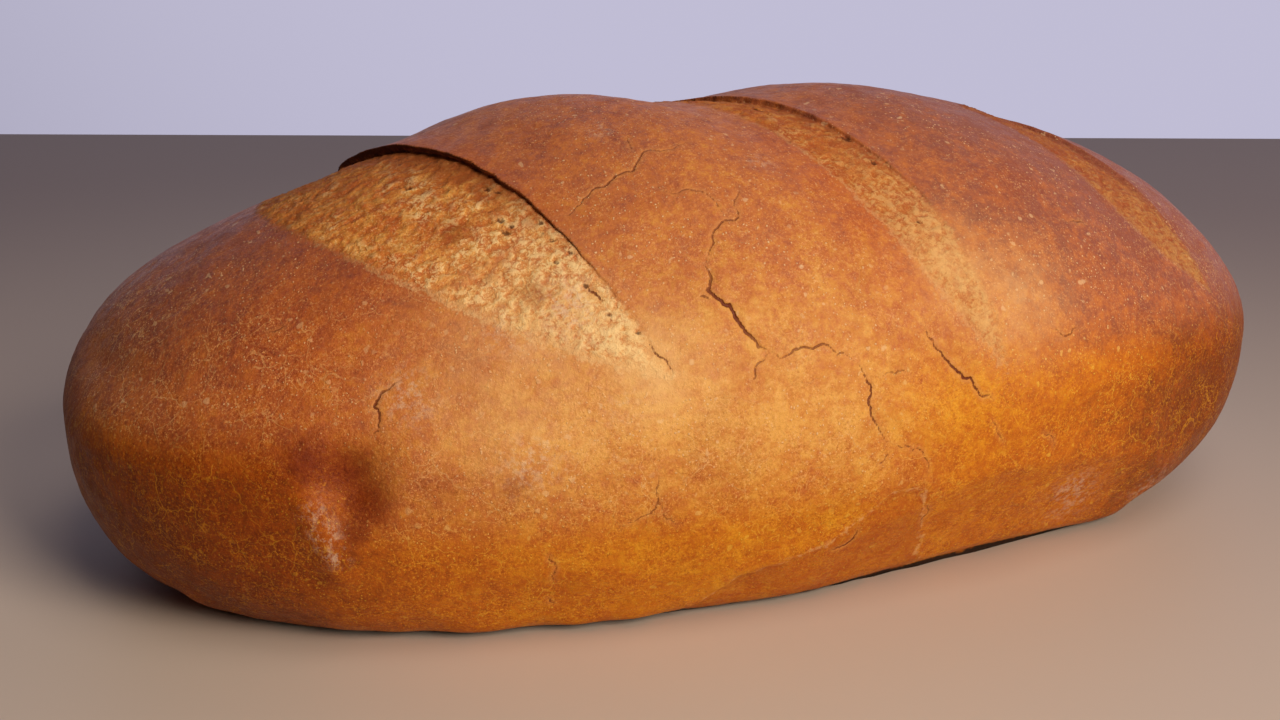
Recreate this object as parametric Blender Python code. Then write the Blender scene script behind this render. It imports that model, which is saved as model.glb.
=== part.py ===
"""Semi-white bread loaf with three diagonal cuts, one solid.

Metres, +Z up. The loaf lies along X on the plane z = 0, with the origin under
the middle of its box. Its front is -Y. The cuts cross the top from the back
left to the front right, and the crust rises in a lip on the right of each.

A place on the skin is given by its station, the distance along X from the
middle, and its girth, an angle round the long axis: 0 degrees is the crest,
90 the widest level in front, 180 the middle of the base, -90 the back.
"""

import math

import bmesh
import bpy
import numpy as np
from mathutils import noise

NAME = "loaf"

# The whole loaf
LENGTH = 0.320
WIDTH = 0.156
HEIGHT = 0.1152
WAIST = 0.0437              # height of the widest level
SUNK = 0.0195               # how far the round underside would reach below the base
BEND = 0.0038               # how far the ends lie towards the back

# Powers of the rounded outlines: 2 is an ellipse, more is squarer
TOP_POWER = 1.85            # sections above the widest level
LOW_POWER = 2.34            # sections below it
PLAN_POWER = {"left": 2.50, "right": 2.43}
CREST_POWER = {"left": 1.99, "right": 1.92}

# The cuts. x is where a cut meets the crest; turn is its direction in plan,
# from +X; front and back are its lengths from the crest to its two tips; belly
# is where it is fullest, as a share of its way to the front tip. Its lip bows
# to the right by bow, most at bow_at, and ends at stop, a share of the back
# length. Its floor is as wide as the crust opened, and the crust beside it dips
# by valley, over the reach dip_left and dip_right.
CUTS = [
    {"x": -0.0717, "turn": -63.0, "front": 0.0836, "back": 0.0584, "belly": -0.40,
     "width": 0.0375, "blunt": 2.29, "bow": -0.0045, "bow_at": 0.70, "lip": 0.0028,
     "depth": -0.0004, "valley": 0.0062, "dip_left": 0.0866, "dip_right": 0.0167,
     "stop": 0.70},
    {"x": -0.0090, "turn": -51.9, "front": 0.0953, "back": 0.0751, "belly": -0.55,
     "width": 0.0175, "blunt": 6.8, "bow": 0.0207, "bow_at": -0.55, "lip": 0.0003,
     "depth": 0.0021, "valley": 0.0053, "dip_left": 0.0143, "dip_right": 0.0171,
     "stop": 1.0},
    {"x": 0.0934, "turn": -57.7, "front": 0.0584, "back": 0.0120, "belly": -0.08,
     "width": 0.0218, "blunt": 6.7, "bow": 0.0045, "bow_at": -0.08, "lip": 0.0003,
     "depth": 0.0012, "valley": 0.0007, "dip_left": 0.0146, "dip_right": 0.0165,
     "stop": 1.0},
]
CUT_FADE = 0.020            # height above the widest level where the dips fade out
LIP_EDGE = 0.0010           # half the breadth of skin that turns into a lip's wall
LIP_REACH = 0.012           # breadth of the crust that a lip lifts
LIP_TAPER = 1.5             # how early a lip and its floor fade towards the tips
LIP_STOP = 0.20             # how soon they start, after stop, as a share of the back length
LIP_OVERHANG = 0.0020
LIP_ROLL = 0.0035           # how far behind the edge the overhang fades
UNDERCUT = 0.0006
FLOOR_POWER = 1.4           # how late a cut's floor deepens towards the lip

# Pressed flat places on the lower side: station, girth, depth pressed in
FLATS = [
    (0.0214, 106.7, 0.0011),
    (0.0773, 96.0, 0.0013),
    (0.1117, 95.3, 0.0012),
    (0.0580, 118.0, 0.0051),
    (-0.0640, 116.0, 0.0009),
    (-0.0900, -101.0, 0.0013),
    (0.0150, -97.0, 0.0012),
    (0.0880, -104.0, 0.0011),
]
FLAT_SPAN = 0.055           # a flat place reaches no further than this

# The scar under the front: the crust ends in a torn ledge above a smooth strip
LEDGE_STATIONS = [-0.030, -0.017, -0.003, 0.0047, 0.0103, 0.0187, 0.027, 0.036]
LEDGE_HEIGHTS = [0.000, 0.0129, 0.0162, 0.0186, 0.0235, 0.0303, 0.0299, 0.000]
LEDGE_DEPTH = 0.0010
LEDGE_EDGE = 0.0008

# The thumb-sized dent at the front left, and the ridge beside it
DENT = {"station": -0.1035, "girth": 89.0, "radius": 0.0085, "depth": 0.0040}
RIDGE = {"stations": (-0.1120, -0.1060), "girths": (93.0, 108.0),
         "radius": 0.0042, "height": 0.0016}

# Cracks in the crust: corners as (station in mm, girth in degrees), half
# breadth and depth at the middle
CRACKS = [
    ([(-8.6, 39.0), (-11.4, 45.4), (-18.6, 49.6), (-21.4, 52.1), (-23.0, 58.0),
      (-18.6, 61.0), (-15.3, 66.6), (-11.4, 69.9)], 0.0011, 0.0014),
    ([(-11.4, 69.9), (-7.0, 70.8), (2.0, 69.6), (9.8, 73.6), (12.5, 78.1), (11.4, 81.1),
      (13.1, 85.5), (17.0, 90.7), (25.8, 91.8), (27.5, 96.5)], 0.0009, 0.0010),
    ([(27.5, 67.5), (30.2, 72.0), (38.9, 78.8), (44.8, 83.7)], 0.0010, 0.0012),
    ([(-51.2, 39.0), (-42.2, 35.1), (-28.6, 29.7), (-15.3, 27.1)], 0.0009, 0.0008),
    ([(-91.0, 66.4), (-97.3, 71.3), (-96.4, 74.5), (-98.6, 78.3)], 0.0009, 0.0008),
    ([(-38.4, 90.4), (-38.4, 93.9), (-47.0, 98.6)], 0.0008, 0.0006),
]
CRACK_SPLITS = 1            # times that each stretch is halved and its middle shifted
CRACK_JAG = 0.10            # that shift, as a share of the stretch
CRACK_SEED = 11

# Unevenness of the whole skin: how large the swellings are, and how high
SWELLINGS = [(0.045, 0.0007), (0.016, 0.00035)]
BASE_WAVE = (0.011, 0.0012, 0.012)      # size, height and reach above the base

# The mesh that is shaped, and the size of the solid made from it
GIRTH_SEGMENTS = 520
LENGTH_SEGMENTS = 440
TRIANGLES = 11400
BASE_SNAP = 0.00005         # what lies this close to the base lies in it

CRUST_COLOUR = (0.47, 0.20, 0.055, 1.0)
CRUST_ROUGHNESS = 0.62


def share(q, power):
    """Breadth left at the share q of the way from the middle to the end."""
    return np.maximum(0.0, 1.0 - np.abs(q) ** power) ** (1.0 / power)


def skin_points(stations, girths):
    """Points of the smooth loaf at these stations and girths."""
    s = np.clip(stations / (LENGTH / 2), -1.0, 1.0)
    left = s < 0
    plan = share(s, np.where(left, PLAN_POWER["left"], PLAN_POWER["right"]))
    crest = share(s, np.where(left, CREST_POWER["left"], CREST_POWER["right"]))
    side = -np.sin(girths)
    rise = np.cos(girths)
    upper = rise >= 0
    side_power = 2.0 / np.where(upper, TOP_POWER, LOW_POWER)
    y = WIDTH / 2 * plan * np.sign(side) * np.abs(side) ** side_power
    above = (HEIGHT - WAIST) * crest * np.abs(rise) ** (2.0 / TOP_POWER)
    below = (WAIST + SUNK) * plan * np.abs(rise) ** (2.0 / LOW_POWER)
    z = np.where(upper, WAIST + above, np.maximum(0.0, WAIST - below))
    return np.stack([LENGTH / 2 * s, y + BEND * (s * s - 0.3), z], axis=1)


def skin_point(station, girth_degrees):
    """One point of the smooth loaf."""
    girth = math.radians(girth_degrees)
    return skin_points(np.array([station]), np.array([girth]))[0]


def smooth_step(q):
    """0 below 0, 1 above 1, and a smooth curve between."""
    q = np.clip(q, 0.0, 1.0)
    return q * q * (3.0 - 2.0 * q)


def swelling(points, size, seed):
    """Smooth noise between about -1 and 1 at each point."""
    shift = 17.3 * seed
    values = [noise.noise((x / size + shift, y / size, z / size)) for x, y, z in points]
    return np.array(values)


def unit(vectors):
    """The vectors at length 1."""
    lengths = np.linalg.norm(vectors, axis=1, keepdims=True)
    return vectors / np.maximum(lengths, 1e-9)


def arch(t, peak):
    """A curve from 0 at t = -1 over 1 at the peak to 0 at t = 1."""
    return np.maximum(0.0, 1.0 - ((t - peak) / np.where(t > peak, 1.0 - peak, 1.0 + peak)) ** 2)


def cut_shift(cut, points, normals):
    """How a cut moves the skin: its floor sinks and the lip beside it rises."""
    turn = math.radians(cut["turn"])
    dx = points[:, 0] - cut["x"]
    dy = points[:, 1]
    along = dx * math.cos(turn) + dy * math.sin(turn)
    across = dy * math.cos(turn) - dx * math.sin(turn)
    t = along / np.where(along > 0, cut["front"], cut["back"])
    opened = np.maximum(0.0, 1.0 - np.abs(t) ** cut["blunt"])
    above = smooth_step((points[:, 2] - WAIST) / CUT_FADE)
    bulge = arch(t, cut["belly"]) * above
    beside = across - cut["bow"] * arch(t, cut["bow_at"]) * above

    width = np.maximum(cut["width"] * opened, 1e-6)
    behind = np.maximum(0.0, beside)
    outside = np.maximum(0.0, -beside - width)
    valley = np.exp(-(behind / cut["dip_right"]) ** 2 - (outside / cut["dip_left"]) ** 2)
    inward = np.clip((beside + width) / width, 0.0, 1.0)
    ended = smooth_step((t + cut["stop"]) / LIP_STOP)
    fade = ended * bulge ** LIP_TAPER
    floor = -cut["depth"] * inward ** FLOOR_POWER * fade
    lip = cut["lip"] * np.exp(-(behind / LIP_REACH) ** 1.5) * fade
    wall = smooth_step((beside + LIP_EDGE) / (2 * LIP_EDGE))
    height = floor * (1 - wall) + lip * wall - cut["valley"] * valley * bulge

    over = -LIP_OVERHANG * np.exp(-behind / LIP_ROLL) * wall
    under = UNDERCUT * np.exp(-np.maximum(0.0, -beside) / LIP_ROLL) * (1 - wall)
    slide = (over + under) * bulge * ended
    aside = np.array([-math.sin(turn), math.cos(turn), 0.0])
    tangent = unit(aside - normals * (normals @ aside)[:, None])
    return normals * height[:, None] + tangent * slide[:, None]


def press_flats(points):
    """Push what stands proud of each flat place down into its plane."""
    for station, girth, depth in FLATS:
        middle = skin_point(station, girth)
        step = 0.001
        ahead = skin_point(station + step, girth) - skin_point(station - step, girth)
        round_about = skin_point(station, girth + 1.0) - skin_point(station, girth - 1.0)
        facing = np.cross(round_about, ahead)
        facing /= np.linalg.norm(facing)
        if facing @ (middle - np.array([station, 0.0, WAIST])) < 0:
            facing = -facing
        offset = points - (middle - facing * depth)
        near = np.linalg.norm(offset, axis=1) < FLAT_SPAN
        proud = np.where(near, np.maximum(0.0, offset @ facing), 0.0)
        points -= facing * proud[:, None]
    return points


def ledge_height(points):
    """The smooth strip under the torn ledge, set into the front's foot."""
    top = np.interp(points[:, 0], LEDGE_STATIONS, LEDGE_HEIGHTS)
    depth = smooth_step((top - points[:, 2]) / LEDGE_EDGE)
    foot = smooth_step(points[:, 2] / 0.004)
    return np.where(points[:, 1] < 0, -LEDGE_DEPTH * depth * foot, 0.0)


def dent_height(points):
    """The dent and the ridge at its lower left."""
    middle = skin_point(DENT["station"], DENT["girth"])
    away = np.linalg.norm(points - middle, axis=1) / DENT["radius"]
    height = -DENT["depth"] * np.exp(-away ** 2)
    ends = [skin_point(s, g) for s, g in zip(RIDGE["stations"], RIDGE["girths"])]
    near = line_distance(points, ends)[0] / RIDGE["radius"]
    return height + RIDGE["height"] * np.exp(-near ** 2)


def line_distance(points, corners):
    """Distance to a line through the corners, and the share of its length."""
    best = np.full(len(points), np.inf)
    place = np.zeros(len(points))
    pieces = len(corners) - 1
    for i in range(pieces):
        start = np.array(corners[i])
        stretch = np.array(corners[i + 1]) - start
        t = np.clip((points - start) @ stretch / (stretch @ stretch), 0.0, 1.0)
        away = np.linalg.norm(points - start - t[:, None] * stretch, axis=1)
        closer = away < best
        best[closer] = away[closer]
        place[closer] = (i + t[closer]) / pieces
    return best, place


def jagged(corners, random):
    """The line through the corners, each stretch split and its middle shifted."""
    for _ in range(CRACK_SPLITS):
        finer = [corners[0]]
        for start, end in zip(corners, corners[1:]):
            middle = (start + end) / 2
            shift = random.uniform(-CRACK_JAG, CRACK_JAG)
            middle = middle + shift * np.array([end[1] - start[1], start[0] - end[0]])
            finer += [middle, end]
        corners = finer
    return corners


def crack_height(points):
    """The grooves of the cracks."""
    random = np.random.RandomState(CRACK_SEED)
    height = np.zeros(len(points))
    for places, breadth, depth in CRACKS:
        corners = jagged([np.array(place, float) for place in places], random)
        line = [skin_point(station / 1000, girth) for station, girth in corners]
        away, share_along = line_distance(points, line)
        taper = np.sin(math.pi * np.clip(share_along, 0.02, 0.98)) ** 0.4
        groove = np.maximum(0.0, 1.0 - away / (breadth * taper))
        height = np.minimum(height, -depth * taper * groove ** 0.7)
    return height


def uneven_height(points):
    """Broad swellings, and a wavy edge just above the base."""
    lifted = smooth_step(points[:, 2] / 0.010)
    height = np.zeros(len(points))
    for seed, (size, rise) in enumerate(SWELLINGS):
        height += rise * swelling(points, size, seed + 1) * lifted
    size, rise, reach = BASE_WAVE
    low = np.exp(-(points[:, 2] / reach) ** 2) * smooth_step(points[:, 2] / 0.002)
    return height + rise * swelling(points, size, 7) * low


def sphere_mesh():
    """A sphere with its poles at the loaf's two ends."""
    bm = bmesh.new()
    bmesh.ops.create_uvsphere(bm, u_segments=GIRTH_SEGMENTS, v_segments=LENGTH_SEGMENTS,
                              radius=1.0)
    mesh = bpy.data.meshes.new(NAME)
    bm.to_mesh(mesh)
    bm.free()
    return mesh


def read_points(mesh, what="co"):
    """The mesh's vertex places, or another vector of each vertex."""
    values = np.empty(len(mesh.vertices) * 3)
    mesh.vertices.foreach_get(what, values)
    return values.reshape(-1, 3)


def write_points(mesh, points):
    """Move the mesh's vertices."""
    mesh.vertices.foreach_set("co", points.ravel())
    mesh.update()


def face_outward(mesh):
    """Turn all faces to the outside."""
    bm = bmesh.new()
    bm.from_mesh(mesh)
    bmesh.ops.recalc_face_normals(bm, faces=bm.faces)
    bm.to_mesh(mesh)
    bm.free()


def shape_loaf(mesh):
    """Give the sphere the form of the loaf."""
    ball = read_points(mesh)
    stations = LENGTH / 2 * np.clip(ball[:, 2], -1.0, 1.0)
    girths = np.arctan2(ball[:, 1], ball[:, 0])
    write_points(mesh, skin_points(stations, girths))
    face_outward(mesh)

    smooth = read_points(mesh)
    normals = read_points(mesh, "normal")
    height = uneven_height(smooth) + ledge_height(smooth) + dent_height(smooth)
    shift = normals * height[:, None]
    for cut in CUTS:
        shift += cut_shift(cut, smooth, normals)
    points = press_flats(smooth + shift)
    points += normals * crack_height(smooth)[:, None]
    points[:, 2] = np.maximum(0.0, points[:, 2])
    write_points(mesh, points)


def thin_out(loaf):
    """Keep only the triangles that the form needs."""
    loaf.data.calc_loop_triangles()
    fewer = loaf.modifiers.new("fewer triangles", "DECIMATE")
    fewer.ratio = TRIANGLES / len(loaf.data.loop_triangles)
    fewer.use_collapse_triangulate = True
    graph = bpy.context.evaluated_depsgraph_get()
    thinned = bpy.data.meshes.new_from_object(loaf.evaluated_get(graph))
    loaf.modifiers.remove(fewer)
    loaf.data = thinned
    thinned.name = NAME


def settle(mesh):
    """Lay the base in z = 0 and put the middle of the box over the origin."""
    points = read_points(mesh)
    points[points[:, 2] < BASE_SNAP, 2] = 0.0
    middle = (points.min(axis=0) + points.max(axis=0)) / 2
    points[:, :2] -= middle[:2]
    write_points(mesh, points)


def crust_material():
    """Plain baked crust."""
    material = bpy.data.materials.new("crust")
    material.use_nodes = True
    shader = material.node_tree.nodes["Principled BSDF"]
    shader.inputs["Base Color"].default_value = CRUST_COLOUR
    shader.inputs["Roughness"].default_value = CRUST_ROUGHNESS
    shader.inputs["Metallic"].default_value = 0.0
    return material


def main():
    for item in list(bpy.data.objects):
        bpy.data.objects.remove(item)
    collection = bpy.data.collections.new("semi_white_loaf")
    bpy.context.scene.collection.children.link(collection)
    mesh = sphere_mesh()
    shape_loaf(mesh)
    loaf = bpy.data.objects.new(NAME, mesh)
    collection.objects.link(loaf)
    thin_out(loaf)
    settle(loaf.data)
    loaf.data.materials.append(crust_material())
    loaf.data.shade_smooth()


main()
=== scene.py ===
"""Looks of the semi-white bread loaf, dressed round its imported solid.

Metres, +Z up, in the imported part's frame: the loaf lies along X on the plane
z = 0 and the side seen first is -Y. The crust is one fine mesh of the form of
the solid that it replaces, with its foot's edge rounded, and with the torn
floors of the cuts, pores, cracks and blisters added. A place on the skin is
given by its station, the distance along X from the middle, and its girth, an
angle round the long axis: 0 degrees is the crest, 90 the widest level in front,
180 the middle of the base.
"""

import math

import bmesh
import bpy
import numpy as np
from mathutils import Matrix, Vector, noise

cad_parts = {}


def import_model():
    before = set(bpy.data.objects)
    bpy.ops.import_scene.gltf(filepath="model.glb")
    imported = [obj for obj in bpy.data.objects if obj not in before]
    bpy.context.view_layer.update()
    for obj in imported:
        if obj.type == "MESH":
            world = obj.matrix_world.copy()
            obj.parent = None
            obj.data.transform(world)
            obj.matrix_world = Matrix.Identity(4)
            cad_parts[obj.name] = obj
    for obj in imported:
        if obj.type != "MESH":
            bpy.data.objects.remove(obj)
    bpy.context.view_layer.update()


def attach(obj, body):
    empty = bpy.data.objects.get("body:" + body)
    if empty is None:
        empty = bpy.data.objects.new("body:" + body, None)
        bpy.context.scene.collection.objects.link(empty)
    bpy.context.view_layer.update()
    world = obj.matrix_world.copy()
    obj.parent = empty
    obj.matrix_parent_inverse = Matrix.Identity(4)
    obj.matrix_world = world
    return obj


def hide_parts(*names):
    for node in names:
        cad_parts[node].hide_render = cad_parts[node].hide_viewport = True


# The whole loaf
LENGTH = 0.32
WIDTH = 0.156
HEIGHT = 0.1152
WAIST = 0.0437  # height of the widest level
SUNK = 0.0195  # how far the round underside would reach below the base
BEND = 0.0038  # how far the ends lie towards the back

# Powers of the rounded outlines: 2 is an ellipse, more is squarer
TOP_POWER = 1.85  # sections above the widest level
LOW_POWER = 2.5  # sections below it
PLAN_POWER = {"left": 2.5, "right": 2.43}
KEEL_POWER = {"left": 2.75, "right": 2.5}  # how far down the ends reach
CREST_POWER = {"left": 1.99, "right": 1.92}

# The cuts, as in the solid. x is where a cut meets the crest; turn is its
# direction in plan, from +X; front and back are its lengths from the crest to
# its two tips; belly is where it is fullest, as a share of its way to the front
# tip. Its lip bows to the right by bow, most at bow_at, and ends at stop, a
# share of the back length. Its floor is as wide as the crust opened, and the
# crust beside it dips by valley, over the reach dip_left and dip_right. Fresh is
# how pale its floor is, and shade how far its lip overhangs and how dark the
# painted shade under the lip is.
CUTS = [
    {"x": -0.0717, "turn": -63, "front": 0.0836, "back": 0.0584, "belly": -0.4,
     "width": 0.0375, "blunt": 2.29, "bow": -0.0045, "bow_at": 0.7, "lip": 0.0028,
     "depth": -0.0004, "valley": 0.0062, "dip_left": 0.0866, "dip_right": 0.0167,
     "stop": 0.7, "fresh": 1, "shade": 1},
    {"x": -0.009, "turn": -51.9, "front": 0.0953, "back": 0.0751, "belly": -0.55,
     "width": 0.0175, "blunt": 6.8, "bow": 0.0207, "bow_at": -0.55, "lip": 0.0003,
     "depth": 0.0021, "valley": 0.0053, "dip_left": 0.0143, "dip_right": 0.0171,
     "stop": 1, "fresh": 0.6, "shade": 0.55},
    {"x": 0.0934, "turn": -57.7, "front": 0.0584, "back": 0.012, "belly": -0.08,
     "width": 0.0218, "blunt": 6.7, "bow": 0.0045, "bow_at": -0.08, "lip": 0.0003,
     "depth": 0.0012, "valley": 0.0007, "dip_left": 0.0146, "dip_right": 0.0165,
     "stop": 1, "fresh": 0.3, "shade": 0.2},
]
CUT_FADE = 0.02  # height above the widest level where the dips fade out
LIP_EDGE = 0.0005  # half the breadth of skin that turns into a lip's wall
LIP_REACH = 0.012  # breadth of the crust that a lip lifts
LIP_TAPER = 1.5  # how early a lip and its floor fade towards the tips
LIP_STOP = 0.2  # how soon they start after stop, as a share of back
LIP_OVERHANG = 0.002
LIP_ROLL = 0.0035  # how far behind the edge the overhang fades
UNDERCUT = 0.0006
FLOOR_POWER = 1.4  # how late a cut's floor deepens towards the lip
SHADOW_REACH = 0.0016  # breadth of the painted shadow band at the foot of a lip's wall
SHADOW_SHARE = 0.45  # and how dark it is beside the wall
EAR_REACH = 0.004  # breadth of the redder crust on a lip

# Pressed flat places on the lower side: station, girth, depth
FLATS = [
    (0.0214, 106.7, 0.0011),
    (0.0773, 96, 0.0013),
    (0.1117, 95.3, 0.0012),
    (0.058, 118, 0.0051),
    (-0.064, 116, 0.0009),
    (-0.09, -101, 0.0013),
    (0.015, -97, 0.0012),
    (0.088, -104, 0.0011),
]
FLAT_SPAN = 0.055  # a flat place reaches no further than this

# The foot's edge is rounded: how far it is drawn in at the base, and up to what height
FOOT_ROUND = 0.003
FOOT_RISE = 0.0035

# The scar under the front: the crust ends in a torn ledge above a smooth strip
LEDGE_STATIONS = [-0.03, -0.017, -0.003, 0.0047, 0.0103, 0.0187, 0.027, 0.036]
LEDGE_HEIGHTS = [0, 0.0129, 0.0162, 0.0186, 0.0235, 0.0303, 0.0299, 0]
LEDGE_DEPTH = 0.001
LEDGE_EDGE = 0.0008

# The thumb-sized dent at the front left, and the ridge beside it
DENT = {"station": -0.1035, "girth": 89, "radius": 0.0085, "depth": 0.004}
RIDGE = {"stations": (-0.112, -0.106), "girths": (93, 108),
         "radius": 0.0032, "height": 0.0013}

# Cracks in the crust: corners as (station in mm, girth in degrees), half breadth
# in mm, and depth in mm at the middle, which also sets how dark the crack is
CRACKS = [
    ([(-8.6, 39), (-11.4, 45.4), (-18.6, 49.6), (-21.4, 52.1)], 0.22, 0.4),
    ([(-21.4, 52.1), (-23, 58), (-18.6, 61), (-15.3, 66.6), (-11.4, 69.9)], 0.4, 1),
    ([(-25.3, 58.7), (-22.6, 59.6)], 0.24, 0.4),
    ([(-11.4, 69.9), (-7, 70.8), (-4.2, 69.9), (2, 69.6), (4.7, 71.7), (9.8, 73.6)], 0.24, 0.4),
    ([(9.8, 73.6), (10.9, 75.7), (12.5, 78.1), (11.4, 81.1), (13.1, 85.5), (17, 90.7)], 0.28, 0.6),
    ([(17, 90.7), (22, 90.9), (25.8, 91.8), (27.5, 96.5)], 0.22, 0.3),
    ([(13.6, 92.5), (17, 91.1)], 0.2, 0.3),
    ([(15.3, 76.4), (19.7, 75.7), (22, 76.4)], 0.2, 0.2),
    ([(-11.4, 69.9), (-15.3, 72.9), (-16.4, 75)], 0.22, 0.3),
    ([(-11.4, 45.4), (-18.1, 39.3), (-27.5, 35.8)], 0.2, 0.2),
    ([(-51.2, 39), (-42.2, 35.1), (-34.6, 32.7), (-28.6, 29.7), (-15.3, 27.1)], 0.24, 0.4),
    ([(-29.1, 23.4), (-29.7, 28.3)], 0.2, 0.2),
    ([(27.5, 67.5), (30.2, 72), (35.1, 76.9), (38.9, 78.8), (41.6, 83), (44.8, 83.7)], 0.3, 0.7),
    ([(44.3, 88.6), (48.6, 93)], 0.2, 0.2),
    ([(-91, 66.4), (-95.9, 69.2), (-97.3, 71.3), (-96.4, 74.5), (-98.6, 78.3)], 0.28, 0.6),
    ([(-117.8, 47.7), (-112.8, 48.4)], 0.2, 0.2),
    ([(63.7, 70.8), (71.8, 71.3)], 0.2, 0.3),
    ([(77.7, 47.5), (83.5, 47)], 0.2, 0.3),
    ([(59.1, 92.3), (63.2, 93.5), (64.2, 96)], 0.2, 0.3),
    ([(-38.4, 90.4), (-38.4, 93.9), (-47, 98.6)], 0.22, 0.3),
    ([(-38.4, 93.9), (-32.9, 99.1)], 0.2, 0.2),
    ([(-63.2, 102.1), (-61.1, 111.2)], 0.22, 0.3),
    ([(-61.7, 115.4), (-59.1, 118.5)], 0.2, 0.3),
    ([(5.3, 111.2), (9.2, 110.3), (11.4, 105.6)], 0.3, 0.6),
    ([(28, 102.8), (30.8, 106.6), (30.8, 111.5)], 0.22, 0.3),
    ([(-49.1, 53.8), (-47.5, 55.4), (-45.9, 57.3)], 0.3, 0.6),
    ([(-38.4, 65.4), (-36.2, 68.5), (-33.5, 72)], 0.24, 0.5),
]
CRACK_DEEP = 0.0007  # a crack this deep is quite dark
CRACK_SPLITS = 3  # times that each stretch is halved and its middle shifted
CRACK_JAG = 0.2  # that shift, as a share of the stretch
SEED = 11  # of the cracks' jags and of the crumbs' noise
CRACK_FAR = 0.003  # distances from cracks are kept up to here
CRACK_GROOVE = (1.3, 0.6)  # the groove's breadth and depth, as shares of the crack's

# Pores of the crumb that show in the cuts: station in mm, girth in degrees,
# radius in mm
PORES = [
    (-80.6, 19.4, 0.6), (-64.2, 27.6, 0.6), (-62.2, 29, 0.5), (-63.7, 36.7, 0.6),
    (-61.7, 38.6, 0.5), (-63.2, 39.7, 0.7), (-55.4, 39.3, 0.5), (-53.9, 43.5, 0.4),
    (-54.4, 48.4, 0.4), (-50.7, 47, 0.4), (-49.1, 53.8, 0.5), (-45.4, 59.8, 0.4),
    (-40, 63.8, 0.4), (10.9, 10.3, 0.8), (28, 24.6, 0.9), (30.8, 32.3, 0.6),
    (34.6, 47.5, 0.5),
]
PORE_DEPTH = 0.0006
PORE_TURN = -58  # direction in plan in which pores are drawn out
PORE_STRETCH = 0.5  # and by how much of their length

# Flour and pale scuffs: station in mm, girth in degrees, radius in mm, strength.
# Those below have the same four values.
FLOUR = [
    (-52.8, 57.3, 6, 0.8), (77.2, 112.4, 6, 0.55), (80.6, 118.9, 7, 0.4),
    (107.6, 123.4, 6, 0.5), (-34.6, 20.4, 3, 0.4), (-0.3, 33, 3, 0.35),
    (-90.1, 69.9, 6, 0.55), (-67.3, 60.1, 6, 0.35), (-66, 86, 6, 0.5),
    (-110.5, 94, 2.6, 0.5), (-108.6, 98.5, 3, 0.7), (-106.6, 103, 2.4, 0.6),
    (-45, 77, 4, 0.3), (20, -60, 7, 0.4),
    (-80, -95, 8, 0.5), (70, -70, 6, 0.4),
]
# Pale golden patches at the ends of the cuts: partly paler crust, partly painted light where the
# light falls brightest
PALE_AND_LIT_SPOTS = [
    (-38, 70, 12, 0.7), (-50, 58, 9, 0.4), (-66, 68, 24, 0.4),
    (41, 56, 12, 0.45), (54, 64, 14, 0.45),
]
# Where the crust is redder
RED = [
    (-104, 56, 44, 1), (8, 26, 9, 0.7), (17, 36, 9, 0.9),
    (22, 47, 9, 0.9), (27, 57, 8, 0.7),
]
# Redder, darker spots
SCORCH = [
    (-111, 83, 8, 1), (-104, 86.5, 8, 1.1), (-100, 92.5, 7, 1.1),
    (-102.5, 98, 5, 0.8), (-73.8, 36.7, 5.5, 0.8),
    (-60.6, 53.8, 5, 0.75), (-69.8, 90.9, 5.5, 0.6), (-84, 92, 9, 0.5),
    (-66, 103, 6, 0.3), (-15, 108, 7, 0.4), (-121, 96, 8, 0.3),
    (40, -85, 9, 0.5), (-60, -80, 8, 0.4),
]

# Unevenness of the whole skin: how large the swellings are, and how high
SWELLINGS = [(0.045, 0.0007), (0.016, 0.00035)]
BASE_WAVE = (0.011, 0.0012, 0.012)  # size, height and reach above the base
WRINKLE = (0.006, 0.0001)  # size and height of the crust's fine waves
BLISTER = (0.0026, 0.0001)  # size and height of its blisters
RAGGED = (0.0036, 0.0005)  # size and breadth of the waves in the cuts' edges
TORN = (0.0019, 0.0003)  # size and height of the cut floors' crumbs
SKIN_LIFT = 0.004  # height above the base where fine relief is whole

# The mesh: a sphere's segments, denser where it is looked at, and two finer
# levels near what is small
GIRTH_SEGMENTS = 236
LENGTH_SEGMENTS = 262
DENSE_GIRTH = math.radians(50)
DENSER = 0.42  # 0 is even spacing
FINE_FLOOR = 0.0012  # how far outside a cut's floor the first level reaches
FINE_LIP = (0.0036, 0.0014)  # and each level from a lip
FINE_LINE = (0.0022, 0.001)  # and each level from a crack or pore

# The camera: a lens of 45 mm on a frame 36 mm wide, low in front
CAMERA_PLACE = (-0.14799, -0.37974, 0.17188)
CAMERA_TURN = 19.13  # degrees to the right of +Y
CAMERA_DROP = 17.8  # degrees below level
LENS = 45
SENSOR = 36

# The floor is a square whose far edge is square to the camera's view
FLOOR_SIZE = 2.4
FLOOR_FAR = 0.99  # from the point below the camera to the far edge
FLOOR_SKEW = 1.2  # degrees that this edge falls to the right

# The surroundings: a pale wall behind, brightest to the right, in a dim room
WALL_LIGHT = (0.53, 0.51, 0.665, 1)
ROOM_LIGHT = (0.032, 0.029, 0.03, 1)
WALL_TURN = 38  # degrees to the right of +Y of the wall's brightest part
WALL_RISE = 12  # and degrees above level
WALL_SPREAD = 0.3  # share of this light that reaches matt surfaces
WALL_EDGE = (0.1, 0.92)  # cosines of the angles from it where it ends and is full

BASE_SNAP = 0.00005  # what lies this close to the base lies in it


def colour(red, green, blue):
    """A display colour, 0 to 255, as the linear colour that shaders take."""
    parts = [c / 255 for c in (red, green, blue)]
    linear = [c / 12.92 if c <= 0.04045 else ((c + 0.055) / 1.055) ** 2.4 for c in parts]
    return (*linear, 1)


# ---- the form


def share(q, power):
    """Breadth left at the share q of the way from the middle to the end."""
    return np.maximum(0, 1 - np.abs(q) ** power) ** (1 / power)


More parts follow.
